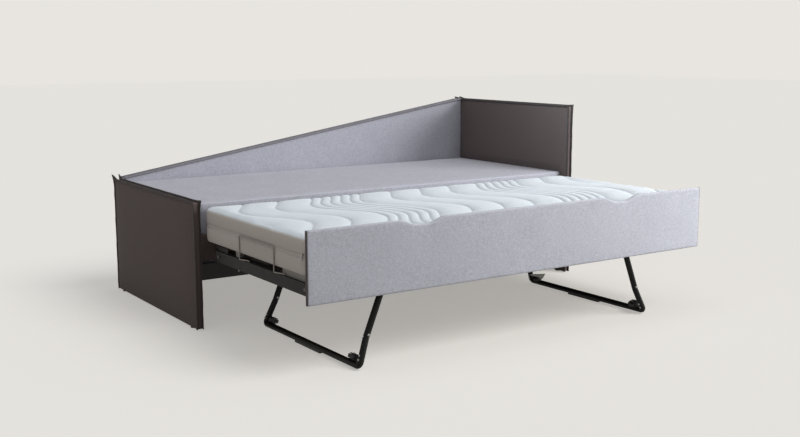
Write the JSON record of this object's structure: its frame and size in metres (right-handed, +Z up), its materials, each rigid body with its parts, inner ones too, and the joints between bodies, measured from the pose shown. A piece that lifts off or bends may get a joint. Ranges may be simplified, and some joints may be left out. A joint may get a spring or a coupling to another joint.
{
  "type": "trundle daybed",
  "caption": "Upholstered daybed with a low arm, a high arm and a sloping back, and a trundle bed that rises on folding legs beside the seat.",
  "frame": {"origin": "middle of the footprint with the trundle raised in front, on the floor", "axes": "+X along the bed towards the high arm, +Y towards the back, +Z up"},
  "size_m": [2.1, 1.836, 0.889],
  "materials": {
    "woven_cover": "woven, matt",
    "welt": "sewn edge, matt",
    "board": "raw board",
    "dark_board": "black painted board",
    "slat_wood": "bent beech",
    "black_plastic": "matt",
    "grey_plastic": "matt",
    "brown_trim": "satin",
    "black_steel": "satin black paint",
    "wire_steel": "satin",
    "plated_steel": "zinc plated",
    "wheel_plastic": "matt",
    "ticking": "quilted ticking"
  },
  "bodies": {
    "base": {"left_arm_core": "board", "left_arm_cover": "woven_cover", "left_arm_welts": "welt", "right_arm_core": "board", "right_arm_cover": "woven_cover", "right_arm_welts": "welt", "base_glides": "black_plastic", "back_core": "board", "back_cover": "woven_cover", "back_welts": "welt", "back_bottom_rail": "dark_board", "seat_cushion": "woven_cover", "seat_front_board": "board", "seat_rear_board": "board", "seat_side_boards": "board", "seat_front_pad": "woven_cover", "seat_ledges": "board", "seat_slats": "slat_wood", "seat_slat_holders": "black_plastic", "corner_brackets": "plated_steel", "bracket_bolts": "plated_steel", "long_bolts": "plated_steel"},
    "trundle": {"front_beam": "black_steel", "front_panel_core": "board", "front_panel_cover": "woven_cover", "front_panel_end_trims": "brown_trim", "hinge_brackets": "black_steel", "hinge_pins": "plated_steel", "left_retainer": "wire_steel", "left_side_rail": "black_steel", "middle_beam": "black_steel", "panel_bolts": "plated_steel", "rail_bolts": "plated_steel", "rail_caps": "black_plastic", "rear_beam": "black_steel", "rear_catches": "black_steel", "right_retainer": "wire_steel", "right_side_rail": "black_steel", "slat_bearers": "board", "spacer_blocks": "grey_plastic", "trundle_mattress": "ticking", "trundle_slat_holders": "black_plastic", "trundle_slats": "slat_wood"},
    "left_leg": {"left_leg_loop": "black_steel", "left_leg_upper_tubes": "black_steel", "left_leg_rivets": "plated_steel", "left_wheel_brackets": "black_steel", "left_wheel_axles": "plated_steel", "left_foot_pad": "black_plastic"},
    "right_leg": {"right_leg_loop": "black_steel", "right_leg_upper_tubes": "black_steel", "right_leg_rivets": "plated_steel", "right_wheel_brackets": "black_steel", "right_wheel_axles": "plated_steel", "right_foot_pad": "black_plastic", "right_leg_blade": "plated_steel"},
    "left_front_wheel": {"left_front_wheel": "wheel_plastic"},
    "left_rear_wheel": {"left_rear_wheel": "wheel_plastic"},
    "right_front_wheel": {"right_front_wheel": "wheel_plastic"},
    "right_rear_wheel": {"right_rear_wheel": "wheel_plastic"}
  },
  "joints": [
    {"name": "trundle_lift", "type": "slide", "parent": "base", "child": "trundle", "axis": [0, 0, 1], "range_m": [-0.264, 0]},
    {"name": "left_leg_fold", "type": "hinge", "parent": "trundle", "child": "left_leg", "pos_m": [-0.673, -0.8685, 0.285], "axis": [0, 1, 0], "range_deg": [-112, 0]},
    {"name": "right_leg_fold", "type": "hinge", "parent": "trundle", "child": "right_leg", "pos_m": [0.598, -0.8685, 0.285], "axis": [0, 1, 0], "range_deg": [0, 112]},
    {"name": "left_front_wheel_spin", "type": "hinge", "parent": "left_leg", "child": "left_front_wheel", "pos_m": [-0.7723, -0.8295, 0.03922], "axis": [0.3746, 0, 0.9272], "continuous": true},
    {"name": "left_rear_wheel_spin", "type": "hinge", "parent": "left_leg", "child": "left_rear_wheel", "pos_m": [-0.7723, -0.194, 0.03922], "axis": [0.3746, 0, 0.9272], "continuous": true},
    {"name": "right_front_wheel_spin", "type": "hinge", "parent": "right_leg", "child": "right_front_wheel", "pos_m": [0.6973, -0.8295, 0.03922], "axis": [-0.3746, 0, 0.9272], "continuous": true},
    {"name": "right_rear_wheel_spin", "type": "hinge", "parent": "right_leg", "child": "right_rear_wheel", "pos_m": [0.6973, -0.194, 0.03922], "axis": [-0.3746, 0, 0.9272], "continuous": true}
  ],
  "couplings": [
    {"joint": "left_leg_fold", "follows": "trundle_lift", "rad_per_m": 7.404},
    {"joint": "right_leg_fold", "follows": "trundle_lift", "rad_per_m": -7.404}
  ]
}
